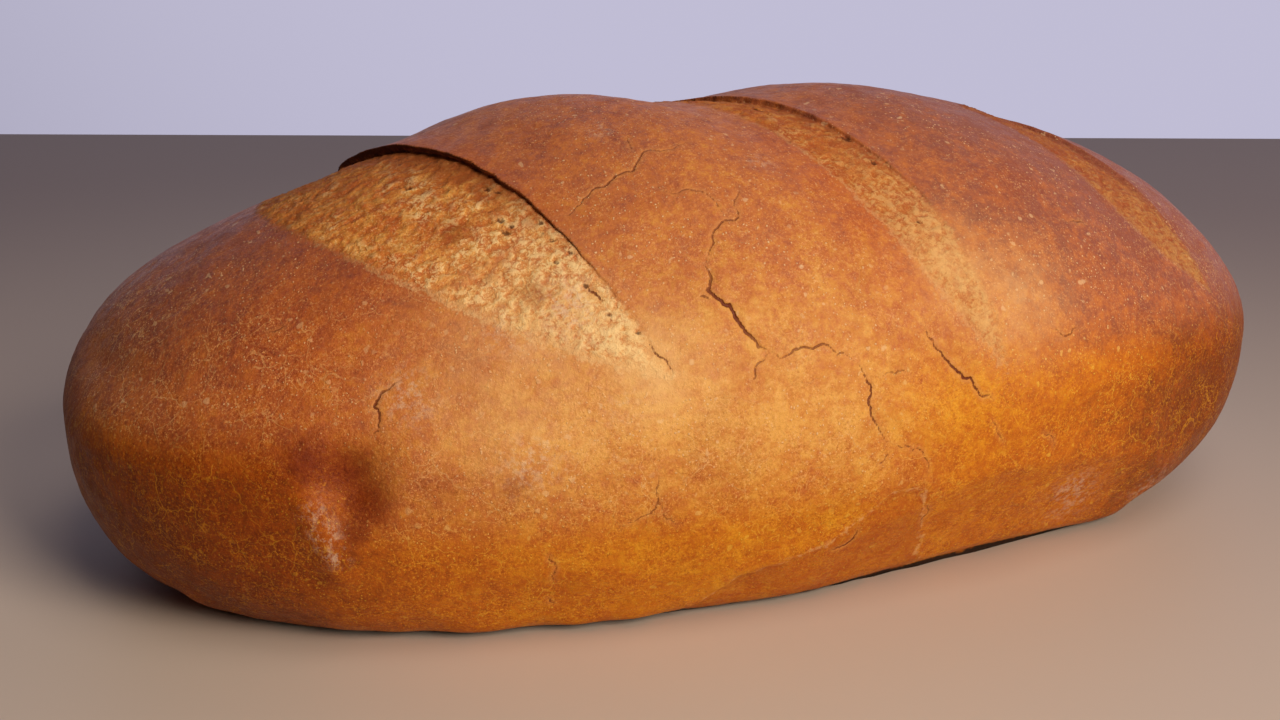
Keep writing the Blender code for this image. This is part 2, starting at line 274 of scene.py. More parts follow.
def skin_points(stations, girths, lowest=0):
    """Points of the smooth loaf at these stations and girths."""
    s = np.clip(stations / (LENGTH / 2), -1, 1)
    left = s < 0
    plan = share(s, np.where(left, PLAN_POWER["left"], PLAN_POWER["right"]))
    crest = share(s, np.where(left, CREST_POWER["left"], CREST_POWER["right"]))
    side = -np.sin(girths)
    rise = np.cos(girths)
    upper = rise >= 0
    side_power = 2 / np.where(upper, TOP_POWER, LOW_POWER)
    y = WIDTH / 2 * plan * np.sign(side) * np.abs(side) ** side_power
    above = (HEIGHT - WAIST) * crest * np.abs(rise) ** (2 / TOP_POWER)
    keel = share(s, np.where(left, KEEL_POWER["left"], KEEL_POWER["right"]))
    below = (WAIST + SUNK) * keel * np.abs(rise) ** (2 / LOW_POWER)
    z = np.where(upper, WAIST + above, np.maximum(lowest, WAIST - below))
    return np.stack([LENGTH / 2 * s, y + BEND * (s * s - 0.3), z], axis=1)


def skin_point(station, girth_degrees):
    """One point of the smooth loaf."""
    girth = math.radians(girth_degrees)
    return skin_points(np.array([station]), np.array([girth]))[0]


def smooth_step(q):
    """0 below 0, 1 above 1, and a smooth curve between."""
    q = np.clip(q, 0, 1)
    return q * q * (3 - 2 * q)


def swelling(points, size, seed):
    """Smooth noise between about -1 and 1 at each point."""
    shift = 17.3 * seed
    values = [noise.noise((x / size + shift, y / size, z / size)) for x, y, z in points]
    return np.array(values)


def unit(vectors):
    """The vectors at length 1."""
    lengths = np.linalg.norm(vectors, axis=1, keepdims=True)
    return vectors / np.maximum(lengths, 1e-9)


def arch(t, peak):
    """A curve from 0 at t = -1 over 1 at the peak to 0 at t = 1."""
    return np.maximum(0, 1 - ((t - peak) / np.where(t > peak, 1 - peak, 1 + peak)) ** 2)


def cut_place(cut, points):
    """Where points lie in a cut, by name.

    t runs from -1 at the back tip over 0 at the crest to 1 at the front tip.
    beside is the distance behind the lip's edge, below 0 on the floor.
    inside is the distance from the floor's nearest edge, above 0 on the floor.
    """
    turn = math.radians(cut["turn"])
    dx = points[:, 0] - cut["x"]
    dy = points[:, 1]
    along = dx * math.cos(turn) + dy * math.sin(turn)
    across = dy * math.cos(turn) - dx * math.sin(turn)
    half = np.where(along > 0, cut["front"], cut["back"])
    t = along / half
    opened = np.maximum(0, 1 - np.abs(t) ** cut["blunt"])
    above = smooth_step((points[:, 2] - WAIST) / CUT_FADE)
    bulge = arch(t, cut["belly"]) * above
    beside = across - cut["bow"] * arch(t, cut["bow_at"]) * above
    width = np.maximum(cut["width"] * opened, 1e-6)
    inside = np.minimum(beside + width, -beside) - np.maximum(0, np.abs(t) - 1) * half
    inside = np.where(points[:, 2] > WAIST, inside, -LENGTH)
    ended = smooth_step((t + cut["stop"]) / LIP_STOP)
    return {"t": t, "bulge": bulge, "beside": beside, "width": width, "inside": inside,
            "ended": ended, "fade": ended * bulge ** LIP_TAPER}


def cut_shift(cut, place, normals):
    """How a cut moves the skin: its floor sinks and the lip beside it rises."""
    beside, width = place["beside"], place["width"]
    behind = np.maximum(0, beside)
    outside = np.maximum(0, -beside - width)
    valley = np.exp(-(behind / cut["dip_right"]) ** 2 - (outside / cut["dip_left"]) ** 2)
    inward = np.clip((beside + width) / width, 0, 1)
    floor = -cut["depth"] * inward ** FLOOR_POWER * place["fade"]
    lip = cut["lip"] * np.exp(-(behind / LIP_REACH) ** 1.5) * place["fade"]
    wall = smooth_step((beside + LIP_EDGE) / (2 * LIP_EDGE))
    height = floor * (1 - wall) + lip * wall - cut["valley"] * valley * place["bulge"]

    over = -LIP_OVERHANG * np.exp(-behind / LIP_ROLL) * wall
    under = UNDERCUT * np.exp(-np.maximum(0, -beside) / LIP_ROLL) * (1 - wall)
    slide = (over + under) * place["bulge"] * place["ended"] * cut["shade"]
    turn = math.radians(cut["turn"])
    aside = np.array([-math.sin(turn), math.cos(turn), 0])
    tangent = unit(aside - normals * (normals @ aside)[:, None])
    return normals * height[:, None] + tangent * slide[:, None]


def press_flats(points):
    """Push what stands proud of each flat place down into its plane."""
    for station, girth, depth in FLATS:
        middle = skin_point(station, girth)
        step = 0.001
        ahead = skin_point(station + step, girth) - skin_point(station - step, girth)
        round_about = skin_point(station, girth + 1) - skin_point(station, girth - 1)
        facing = np.cross(round_about, ahead)
        facing /= np.linalg.norm(facing)
        if facing @ (middle - np.array([station, 0, WAIST])) < 0:
            facing = -facing
        offset = points - (middle - facing * depth)
        near = np.linalg.norm(offset, axis=1) < FLAT_SPAN
        proud = np.where(near, np.maximum(0, offset @ facing), 0)
        points = points - facing * proud[:, None]
    return points


def ledge_strip(points):
    """1 on the smooth strip under the torn ledge, 0 elsewhere."""
    top = np.interp(points[:, 0], LEDGE_STATIONS, LEDGE_HEIGHTS)
    return np.where(points[:, 1] < 0, smooth_step((top - points[:, 2]) / LEDGE_EDGE), 0)


def dent_height(points):
    """The dent and the ridge at its lower left."""
    middle = skin_point(DENT["station"], DENT["girth"])
    away = np.linalg.norm(points - middle, axis=1) / DENT["radius"]
    height = -DENT["depth"] * np.exp(-away ** 2)
    ends = [skin_point(s, g) for s, g in zip(RIDGE["stations"], RIDGE["girths"])]
    near = line_distance(points, ends)[0] / RIDGE["radius"]
    return height + RIDGE["height"] * np.exp(-near ** 2)


def line_distance(points, corners):
    """Distance to a line through the corners, and the share of its length."""
    best = np.full(len(points), np.inf)
    place = np.zeros(len(points))
    pieces = len(corners) - 1
    for i in range(pieces):
        start = np.array(corners[i])
        stretch = np.array(corners[i + 1]) - start
        t = np.clip((points - start) @ stretch / (stretch @ stretch), 0, 1)
        away = np.linalg.norm(points - start - t[:, None] * stretch, axis=1)
        closer = away < best
        best[closer] = away[closer]
        place[closer] = (i + t[closer]) / pieces
    return best, place


def jagged(corners, random):
    """The line through the corners, each stretch split and its middle shifted."""
    for _ in range(CRACK_SPLITS):
        finer = [corners[0]]
        for start, end in zip(corners, corners[1:]):
            middle = (start + end) / 2
            shift = random.uniform(-CRACK_JAG, CRACK_JAG)
            middle = middle + shift * np.array([end[1] - start[1], start[0] - end[0]])
            finer += [middle, end]
        corners = finer
    return corners


def crack_lines():
    """Each crack's line in space, with its half breadth and depth."""
    random = np.random.RandomState(SEED)
    for places, breadth, depth in CRACKS:
        corners = jagged([np.array(place, float) for place in places], random)
        line = [skin_point(station / 1000, girth) for station, girth in corners]
        yield line, breadth / 1000, depth / 1000


def foot_outward(points):
    """The level direction outward from the loaf's middle line at each point."""
    middle = np.clip(points[:, 0], -0.6 * LENGTH / 2, 0.6 * LENGTH / 2)
    return unit(np.stack([points[:, 0] - middle, points[:, 1]], axis=1))


def uneven_height(points):
    """Broad swellings, and a wavy edge just above the base."""
    lifted = smooth_step(points[:, 2] / 0.01)
    height = np.zeros(len(points))
    for seed, (size, rise) in enumerate(SWELLINGS):
        height += rise * swelling(points, size, seed + 1) * lifted
    size, rise, reach = BASE_WAVE
    low = np.exp(-(points[:, 2] / reach) ** 2) * smooth_step(points[:, 2] / 0.002)
    return height + rise * swelling(points, size, 7) * low


# ---- the fine mesh


def read_points(mesh, what="co"):
    """The mesh's vertex places, or another vector of each vertex."""
    values = np.empty(len(mesh.vertices) * 3)
    mesh.vertices.foreach_get(what, values)
    return values.reshape(-1, 3)


def write_points(mesh, points):
    """Move the mesh's vertices."""
    mesh.vertices.foreach_set("co", points.ravel())
    mesh.update()


def ball_mesh():
    """A unit sphere with its poles at the loaf's ends, denser in front."""
    bm = bmesh.new()
    bmesh.ops.create_uvsphere(bm, u_segments=GIRTH_SEGMENTS, v_segments=LENGTH_SEGMENTS,
                              radius=1)
    mesh = bpy.data.meshes.new("loaf_crust")
    bm.to_mesh(mesh)
    bm.free()
    ball = read_points(mesh)
    girth = np.arctan2(ball[:, 1], ball[:, 0])
    girth -= DENSER * np.sin(girth - DENSE_GIRTH)
    radius = np.hypot(ball[:, 0], ball[:, 1])
    write_points(mesh, np.stack([radius * np.cos(girth), radius * np.sin(girth), ball[:, 2]], 1))
    return mesh


def smooth_form(mesh, lowest=0):
    """The smooth loaf's points for the sphere's vertices."""
    ball = unit(read_points(mesh))
    girths = np.arctan2(ball[:, 1], ball[:, 0])
    return skin_points(LENGTH / 2 * ball[:, 2], girths, lowest)


def beside_line(points, line, reach):
    """Which points lie within reach of the box round a line."""
    low = np.min(line, axis=0) - reach
    high = np.max(line, axis=0) + reach
    return np.flatnonzero(np.all((points > low) & (points < high), axis=1))


def line_field(points, reach):
    """Distance to the nearest crack, where it is within reach."""
    near = np.full(len(points), np.inf)
    for line, _, _ in crack_lines():
        some = beside_line(points, line, reach)
        away = line_distance(points[some], line)[0]
        near[some] = np.minimum(near[some], away)
    return near


def pore_field(points):
    """Distance over radius to the nearest pore, and the distance beyond its radius."""
    ratio = np.full(len(points), np.inf)
    beyond = np.full(len(points), np.inf)
    turn = math.radians(PORE_TURN)
    lengthwise = np.array([math.cos(turn), math.sin(turn), 0])
    for station, girth, radius in PORES:
        offset = points - skin_point(station / 1000, girth)
        offset -= PORE_STRETCH * (offset @ lengthwise)[:, None] * lengthwise
        away = np.linalg.norm(offset, axis=1)
        ratio = np.minimum(ratio, away / (radius / 1000))
        beyond = np.minimum(beyond, away - radius / 1000)
    return ratio, beyond


def wants_finer(points, level):
    """The points near what needs a finer mesh, at the first or second level."""
    wanted = line_field(points, FINE_LINE[level]) < FINE_LINE[level]
    wanted |= pore_field(points)[1] < FINE_LINE[level]
    for cut in CUTS:
        place = cut_place(cut, points)
        lip = (np.abs(place["beside"]) < FINE_LIP[level]) & (place["fade"] > 0.01)
        wanted |= lip & (np.abs(place["t"]) < 1)
        if level == 0:
            wanted |= place["inside"] > -FINE_FLOOR
    return wanted


def refine(mesh, level):
    """Halve the edges near what is small."""
    wanted = wants_finer(smooth_form(mesh), level)
    bm = bmesh.new()
    bm.from_mesh(mesh)
    bm.verts.ensure_lookup_table()
    edges = [e for e in bm.edges if wanted[e.verts[0].index] and wanted[e.verts[1].index]]
    bmesh.ops.subdivide_edges(bm, edges=edges, cuts=1, use_grid_fill=True)
    bm.to_mesh(mesh)
    bm.free()


def face_outward(mesh):
    """Turn all faces outward."""
    bm = bmesh.new()
    bm.from_mesh(mesh)
    bmesh.ops.recalc_face_normals(bm, faces=bm.faces)
    bm.to_mesh(mesh)
    bm.free()


def spots(points, places):
    """Soft spots at the places, the strongest at each point."""
    value = np.zeros(len(points))
    for station, girth, radius, strength in places:
        away = np.linalg.norm(points - skin_point(station / 1000, girth), axis=1)
        value = np.maximum(value, strength * np.exp(-(away / (radius / 1000)) ** 2))
    return value


def torn_height(points, size):
    """Curled, flaky relief between -1 and 1: noise at a place that noise shifts."""
    noise.seed_set(SEED)
    values = np.empty(len(points))
    for i, point in enumerate(points):
        place = Vector(point / size)
        shifted = place * 1.1 + 0.9 * noise.noise_vector(place * 0.7)
        values[i] = noise.fractal(shifted, 0.7, 2.1, 3)
    return np.clip(values * 1.4, -1, 1)


def blister_height(points, size):
    """Small rounded swellings, 1 at each middle and 0 between them."""
    values = np.empty(len(points))
    for i, point in enumerate(points):
        values[i] = noise.voronoi(point / size)[0][0]
    return np.clip(1 - values * 1.3, 0, 1)


def add_values(mesh, name, values):
    """Keep one number for each vertex, for the shader."""
    attribute = mesh.attributes.new(name, "FLOAT", "POINT")
    attribute.data.foreach_set("value", np.asarray(values, dtype=np.float32))


def crust_zones(points, up):
    """How brown, amber and deep the crust is, and how far its net of lines shows."""
    x = points[:, 0]
    front = smooth_step((0.04 - points[:, 1]) / 0.06)
    top = np.clip((up - 0.2) / 0.75, 0, 1)
    low = smooth_step((0.15 - up) / 0.3)
    flank = smooth_step((0.6 - up) / 0.5)
    ends = smooth_step((np.abs(x - 0.005) - 0.055) / 0.095)
    right = smooth_step(x / 0.08) * (0.4 + 0.6 * smooth_step((up + 0.3) / 0.4))
    bake = 0.08 + 0.62 * top + 0.25 * low + ends * (0.3 + 0.35 * flank) + 0.38 * right
    bake = bake + 0.15 * (1 - front) * flank
    sides = smooth_step(x / 0.04) * smooth_step((0.5 - up) / 0.3)
    sides = np.maximum(sides, smooth_step((-x - 0.085) / 0.03) * smooth_step((0.4 - up) / 0.4))
    amber = np.maximum(smooth_step((0.05 - up) / 0.25), sides) * (0.3 + 0.7 * front)
    # deep: the low ends, darker and redder, partly as painted shade
    deep = smooth_step((-x - 0.085) / 0.04) * smooth_step((0.55 - up) / 0.5)
    deep = np.maximum(deep, smooth_step((x - 0.075) / 0.045) * smooth_step((0.6 - up) / 0.5))
    net = np.clip(0.25 + ends + 0.5 * smooth_step((0.35 - up) / 0.35), 0, 1)
    net = net * (1 - 0.6 * smooth_step((x - 0.03) / 0.05) * smooth_step((up - 0.1) / 0.3))
    net = net * smooth_step((0.9 - up) / 0.25)
    return {"bake": bake, "amber": amber, "deep": deep, "net": net}


def open_cuts(smooth, normals):
    """How the cuts move the skin, and what the shader reads of them, by name."""
    shift = np.zeros_like(smooth)
    names = ("along", "inward", "fresh", "wall", "ear")
    known = {name: np.zeros(len(smooth)) for name in names}
    known["inside"] = np.full(len(smooth), -LENGTH)
    torn_edge = smooth.copy()
    torn_edge[:, 0] += RAGGED[1] * swelling(smooth, RAGGED[0], 9)
    for cut in CUTS:
        place = cut_place(cut, torn_edge)
        shift += cut_shift(cut, place, normals)
        beside = place["beside"]
        here = {"inside": place["inside"], "along": place["t"], "fresh": cut["fresh"],
                "inward": np.clip(1 + beside / place["width"], 0, 1)}
        nearer = place["inside"] > known["inside"]
        for name, value in here.items():
            known[name] = np.where(nearer, value, known[name])

        in_cut = place["ended"] * (np.abs(place["t"]) < 1)
        # Painted shade: the lip's wall and a band of floor at its foot are darkened for the shade
        # under the overhang, as strongly as the cut's shade says; the wall is also darker crust.
        tall = cut["shade"] * smooth_step(place["fade"] * 1.6 - 0.35)
        wall_shade = smooth_step((beside + 0.6 * LIP_EDGE) / LIP_EDGE)
        wall_shade = np.maximum(wall_shade, SHADOW_SHARE * np.exp(-(beside / SHADOW_REACH) ** 2))
        wall_shade *= beside < LIP_EDGE * 1.2
        known["wall"] = np.maximum(known["wall"], wall_shade * in_cut * tall)
        behind = np.exp(-np.maximum(0, beside) / EAR_REACH) * (beside > 0)
        ear = behind * in_cut * place["bulge"] * cut["shade"]
        known["ear"] = np.maximum(known["ear"], ear)
    return shift, known


def foot_drawn_in(depth_below):
    """How far the foot's edge is drawn in, by how deep the round skin would lie."""
    drawn_in = FOOT_ROUND * np.clip(1 + depth_below / FOOT_RISE, 0, 1) ** 1.6
    return drawn_in * np.clip(1 - depth_below / (3 * FOOT_RISE), 0, 1)


def cracks_near(smooth):
    """The cracks' grooves, the distance beyond the nearest one's edge, and its darkness."""
    groove = np.full(len(smooth), np.inf)
    beyond = np.full(len(smooth), CRACK_FAR)
    opened = np.zeros(len(smooth))
    wider, lower = CRACK_GROOVE
    for line, breadth, depth in crack_lines():
        some = beside_line(smooth, line, CRACK_FAR)
        away, share_along = line_distance(smooth[some], line)
        taper = np.sin(math.pi * np.clip(share_along, 0.02, 0.98)) ** 0.4
        profile = np.maximum(0, 1 - away / (wider * breadth * taper)) ** 0.7
        groove[some] = np.minimum(groove[some], -lower * depth * taper * profile)
        nearer = away - breadth * taper < beyond[some]
        beyond[some] = np.where(nearer, away - breadth * taper, beyond[some])
        dark = taper * min(1, depth / CRACK_DEEP) ** 0.5
        opened[some] = np.where(nearer, dark, opened[some])
    return groove, beyond, opened


def fine_relief(smooth, torn, floor, strip):
    """Crumbs on the cuts' floors, waves and blisters on the skin."""
    relief = TORN[1] * torn * floor
    relief += WRINKLE[1] * swelling(smooth, WRINKLE[0], 3) * (1 - strip)
    blister = blister_height(smooth, BLISTER[0])
    return relief + BLISTER[1] * blister * (1 - floor) * (1 - strip)


def shape_crust(mesh):
    """Give the sphere the loaf's form, and keep what the shader needs."""
    smooth = smooth_form(mesh)
    depth_below = -smooth_form(mesh, -SUNK)[:, 2]
    write_points(mesh, smooth)
    face_outward(mesh)
    normals = read_points(mesh, "normal")
    lifted = smooth_step(smooth[:, 2] / SKIN_LIFT)
    strip = ledge_strip(smooth)

    height = uneven_height(smooth) + dent_height(smooth) - LEDGE_DEPTH * strip * lifted
    shift, known = open_cuts(smooth, normals)
    points = press_flats(smooth + normals * height[:, None] + shift)
    points[:, :2] -= foot_drawn_in(depth_below)[:, None] * foot_outward(smooth)

    floor = smooth_step((known["inside"] + 0.001) / 0.003)
    torn = np.zeros(len(smooth))
    some = np.flatnonzero(known["inside"] > -0.004)
    torn[some] = torn_height(smooth[some], TORN[0])
    groove, crack, opened = cracks_near(smooth)
    ratio, pore = pore_field(smooth)
    relief = np.minimum(fine_relief(smooth, torn, floor, strip), groove)
    relief -= PORE_DEPTH * smooth_step(1.25 - ratio)
    points = points + normals * (relief * lifted)[:, None]

    points[:, 2] = np.maximum(0, points[:, 2])
    points[points[:, 2] < BASE_SNAP, 2] = 0
    low, high = points.min(axis=0), points.max(axis=0)
    points[:, :2] -= (low + high)[:2] / 2
    write_points(mesh, points)

    # What the shader reads, with lengths in millimetres
    known["inside"] = np.clip(known["inside"] * 1000, -30, 30)
    known["along"] = np.clip(known["along"], -1, 1)
    known.update(crust_zones(smooth, normals[:, 2]))
    known.update({
        "torn": torn, "strip": strip, "opened": opened, "crack": crack * 1000,
        "pore": np.minimum(pore * 1000, 3), "foot": np.clip(points[:, 2] * 1000, 0, 8),
        "red": spots(smooth, RED), "flour": spots(smooth, FLOUR),
        "pale_and_lit": spots(smooth, PALE_AND_LIT_SPOTS), "scorch": spots(smooth, SCORCH),
    })
    for name, values in known.items():
        add_values(mesh, name, values)


# ---- the crust's finish


class Look:
    """Shorthand for the nodes of a material or of the surroundings."""

    def __init__(self, owner, shader):
        owner.use_nodes = True
        self.tree = owner.node_tree
        self.inputs = self.tree.nodes[shader].inputs
        self.places = self.node("ShaderNodeTexCoord").outputs
        self.place = self.places["Object"]

    def node(self, kind, **settings):
        made = self.tree.nodes.new(kind)
        for name, value in settings.items():
            setattr(made, name, value)
        return made

    def feed(self, socket, value):
        """Link a node's output to a socket, or set the socket to a value."""
        if isinstance(value, bpy.types.NodeSocket):
            self.tree.links.new(value, socket)
        else:
            socket.default_value = value

    def math(self, operation, *values, kind="ShaderNodeMath", output=0):
        made = self.node(kind, operation=operation)
        for socket, value in zip(made.inputs, values):
            self.feed(socket, value)
        return made.outputs[output]

    def vector(self, operation, *values, output="Vector"):
        return self.math(operation, *values, kind="ShaderNodeVectorMath", output=output)

    def times(self, first, second):
        return self.math("MULTIPLY", first, second)

    def times_plus(self, first, second, third):
        """first times second, plus third."""
        return self.math("MULTIPLY_ADD", first, second, third)

    def centred(self, value):
        return self.math("SUBTRACT", value, 0.5)

    def attribute(self, name):
        return self.node("ShaderNodeAttribute", attribute_name=name).outputs["Fac"]

    def noise(self, scale, detail=2, roughness=0.5, place=None, output="Fac"):
        """Noise of this many waves a metre, about 0.5 on average."""
        made = self.node("ShaderNodeTexNoise")
        self.feed(made.inputs["Vector"], place or self.place)
        self.feed(made.inputs["Scale"], scale)
        self.feed(made.inputs["Detail"], detail)
        self.feed(made.inputs["Roughness"], roughness)
        return made.outputs[output]

    def warped(self, scale, amount):
        """The place, shifted by up to about half of amount metres."""
        wave = self.noise(scale, 1, output="Color")
        centred = self.vector("SUBTRACT", wave, (0.5, 0.5, 0.5))
        return self.vector("MULTIPLY_ADD", centred, (amount, amount, amount), self.place)

    def cells(self, scale, place, feature="F1"):
        """Cells, this many in a metre."""
        made = self.node("ShaderNodeTexVoronoi", feature=feature)
        self.feed(made.inputs["Vector"], place)
        self.feed(made.inputs["Scale"], scale)
        return made

    def chance(self, cells):
        """A random number for each cell, from 0 to 1."""
        parts = self.node("ShaderNodeSeparateColor")
        self.feed(parts.inputs[0], cells.outputs["Color"])
        return parts.outputs[0]

    def step(self, value, low, high, to_low=0, to_high=1):
        """A smooth step of value from low to high."""
        made = self.node("ShaderNodeMapRange", interpolation_type="SMOOTHSTEP")
        for socket, given in zip(made.inputs, (value, low, high, to_low, to_high)):
            self.feed(socket, given)
        return made.outputs["Result"]

    def mix(self, factor, first, second, blend="MIX"):
        made = self.node("ShaderNodeMix", data_type="RGBA", blend_type=blend)
        self.feed(made.inputs[0], factor)
        self.feed(made.inputs[6], first)
        self.feed(made.inputs[7], second)
        return made.outputs[2]

    def over(self, base, *layers):
        """Mix colours over the base one, each given as factor, strength and colour."""
        for factor, strength, shade in layers:
            base = self.mix(self.times(factor, strength), base, shade)
        return base

    def ramp(self, value, stops):
        made = self.node("ShaderNodeValToRGB")
        self.feed(made.inputs["Fac"], value)
        elements = made.color_ramp.elements
        while len(elements) < len(stops):
            elements.new(0.5)
        for element, (position, shade) in zip(elements, stops):
            element.position = position
            element.color = shade
        return made.outputs["Color"]


# How brown the crust is baked, from 0 to 1, and its colour there; the darkest stops,
# which lie on the tops and ends, are tinted pinker and bluer as a painted cool sheen
BAKED_AND_SHEEN = [
    (0, colour(226, 164, 80)),
    (0.25, colour(212, 139, 62)),
    (0.5, colour(198, 115, 58)),
    (0.75, colour(178, 99, 60)),
    (1, colour(150, 82, 62)),
]
# How unevenly it is baked: waves a metre, detail, roughness, amount
BAKE_WAVES = [(26, 3, 0.55, 0.34), (110, 4, 0.65, 0.85), (420, 3, 0.7, 1.15)]

# Tints, by which the colour is multiplied
AMBER = (0.97, 0.82, 0.16, 1)  # of the glassy low flank and ends
DEEP_TINT_AND_SHADE = (0.7, 0.58, 0.34, 1)  # of the low ends, darker and redder there, partly as painted shade
REDDER = (0.94, 0.75, 0.62, 1)  # of the redder places
SCORCHED = (0.5, 0.3, 0.16, 1)  # of the redder, darker spots
GRAIN_DARK = (0.6, 0.46, 0.36, 1)  # of the darkest grain
FLOOR_STALE = (0.72, 0.52, 0.3, 1)  # of the least fresh floor

# Colours of the skin
RUST = colour(160, 70, 26)
TAN = colour(214, 150, 84)
PALE = colour(236, 196, 150)
CREAM = colour(246, 216, 160)
GRAIN_PALE = colour(238, 182, 118)
VEIN = colour(236, 186, 126)
FLOUR_WHITE = colour(226, 200, 178)
CRACK_DARK = colour(112, 46, 18)
PORE_DARK = colour(78, 36, 15)
# Darker crust of the lips' walls, with painted shade under the overhang
WALL_DARK_AND_SHADE = colour(84, 40, 22)
# Painted contact shade along the lowest edge of the foot
PAINTED_FOOT_SHADE = colour(38, 20, 10)

# Colours of the cuts' floors
FLOOR_BROWN = colour(162, 84, 32)
FLOOR_SHADED = colour(122, 56, 24)
FLOOR_RUST = colour(194, 100, 42)
FLOOR_AMBER = colour(214, 134, 56)
FLOOR_GOLD = colour(228, 160, 78)
FLOOR_CREAM = colour(248, 208, 148)
# Pale gold of the patches at the cuts' ends, partly painted light
FLOOR_PALE_AND_LIT = colour(247, 200, 134)

# Flakes: cells a metre, the share of them that hold one, its largest radius in
# metres, and how far its edge is shifted
DOTS = (1300, 0.6, 0.00029, 0.0005)
FLECKS = (400, 0.3, 0.00075, 0.0019)
FLAKES = (240, 0.55, 0.001, 0.0024)
PITS = (420, 0.3, 0.0007, 0.0012)

# Nets of fine lines: cells a metre, waves a metre of the shift, the shift in
# metres, and the lines' breadth as a share of a cell
WIDE_NET = (70, 300, 0.0036, 0.0095)
SMALL_NET = (160, 520, 0.0024, 0.024)

# The finest relief, in millimetres: waves a metre, detail, roughness, height
GRAIN_RELIEF = [(1300, 3, 0.75, 0.2), (430, 4, 0.65, 0.34)]
FLECK_RISE = 0.1
PLATE_RISE = 0.16
CRUMB_RISE = 0.42
CRACK_DROP = -0.2
BUMP_STRENGTH = 0.9
SHINE = 0.2  # the crust's specular level


def skin_colour(look, net):
    """The unbroken crust: how brown it is, with a painted cool sheen where darkest, and its
    mottling and grain.
    """
    bake = look.attribute("bake")
    for scale, detail, roughness, amount in BAKE_WAVES:
        wave = look.noise(scale, detail, roughness, look.warped(scale * 0.6, 0.5 / scale))
        bake = look.times_plus(look.centred(wave), amount, bake)
    blush = look.step(look.noise(60, 4, 0.65), 0.48, 0.7)
    base = look.over(look.ramp(bake, BAKED_AND_SHEEN), (blush, 0.25, RUST))

    grain = look.noise(1600, 3, 0.9, look.warped(900, 0.0006))
    where = look.step(look.noise(130, 4, 0.7), 0.38, 0.62, 0.38, 1)
    where = look.times(where, look.times_plus(net, 0.64, 0.52))
    dark = look.times(look.step(grain, 0.5, 0.32, 0, 0.9), where)
    base = look.mix(dark, base, GRAIN_DARK, "MULTIPLY")
    return look.over(base, (look.step(grain, 0.53, 0.66, 0, 0.9), where, GRAIN_PALE))


def flake_factor(look, scale, share, radius, warp):
    """Single flakes, each of its own size up to radius."""
    cell = look.cells(scale, look.warped(0.4 / radius, warp))
    largest = radius * scale
    size = look.times_plus(look.chance(cell), largest / share, largest * (share - 1) / share)
    outside = look.math("SUBTRACT", cell.outputs["Distance"], size)
    return look.step(outside, 0, -0.35 * largest)


def vein_factor(look, scale, warp_scale, warp, breadth):
    """A net of thin, broken lines, and a random height for each plate between them."""
    place = look.warped(warp_scale, warp)
    edge = look.cells(scale, place, "DISTANCE_TO_EDGE").outputs["Distance"]
    ragged = look.noise(scale * 14, 2, 0.7)
    across = look.math("DIVIDE", edge, look.times(ragged, 2))
    line = look.step(across, breadth, breadth * 0.2)
    broken = look.step(look.noise(scale * 0.8, 4, 0.7), 0.44, 0.58)
    return look.times(line, broken), look.chance(look.cells(scale, place))


def skin_marks(look, base, net, scorch):
    """Fine lines and pale flakes on the skin, then its tints, one partly painted shade; also what
    they raise.
    """
    wide_veins, wide_plates = vein_factor(look, *WIDE_NET)
    small_veins, small_plates = vein_factor(look, *SMALL_NET)
    plates = look.times(look.times_plus(wide_plates, 1.6, small_plates), net)
    veins = look.math("MAXIMUM", wide_veins, look.times(small_veins, 0.8))
    veins = look.times(look.times(veins, net), look.step(scorch, 0.6, 0.2))

    gathered = look.step(look.noise(40, 3, 0.6), 0.36, 0.62, 0.3, 1)
    dots = look.times(flake_factor(look, *DOTS), gathered)
    flecks = look.times(flake_factor(look, *FLECKS), gathered)
    flecks = look.times(flecks, look.step(scorch, 0.5, 0.1))
    flakes = flake_factor(look, *FLAKES)
    base = look.over(base, (veins, 0.7, VEIN), (dots, 0.85, PALE),
                       (flecks, 0.55, PALE), (flakes, 0.48, PALE))

    for name, tint in (("red", REDDER), ("amber", AMBER), ("deep", DEEP_TINT_AND_SHADE)):
        base = look.mix(look.attribute(name), base, tint, "MULTIPLY")
    return base, look.math("MAXIMUM", dots, flecks), plates


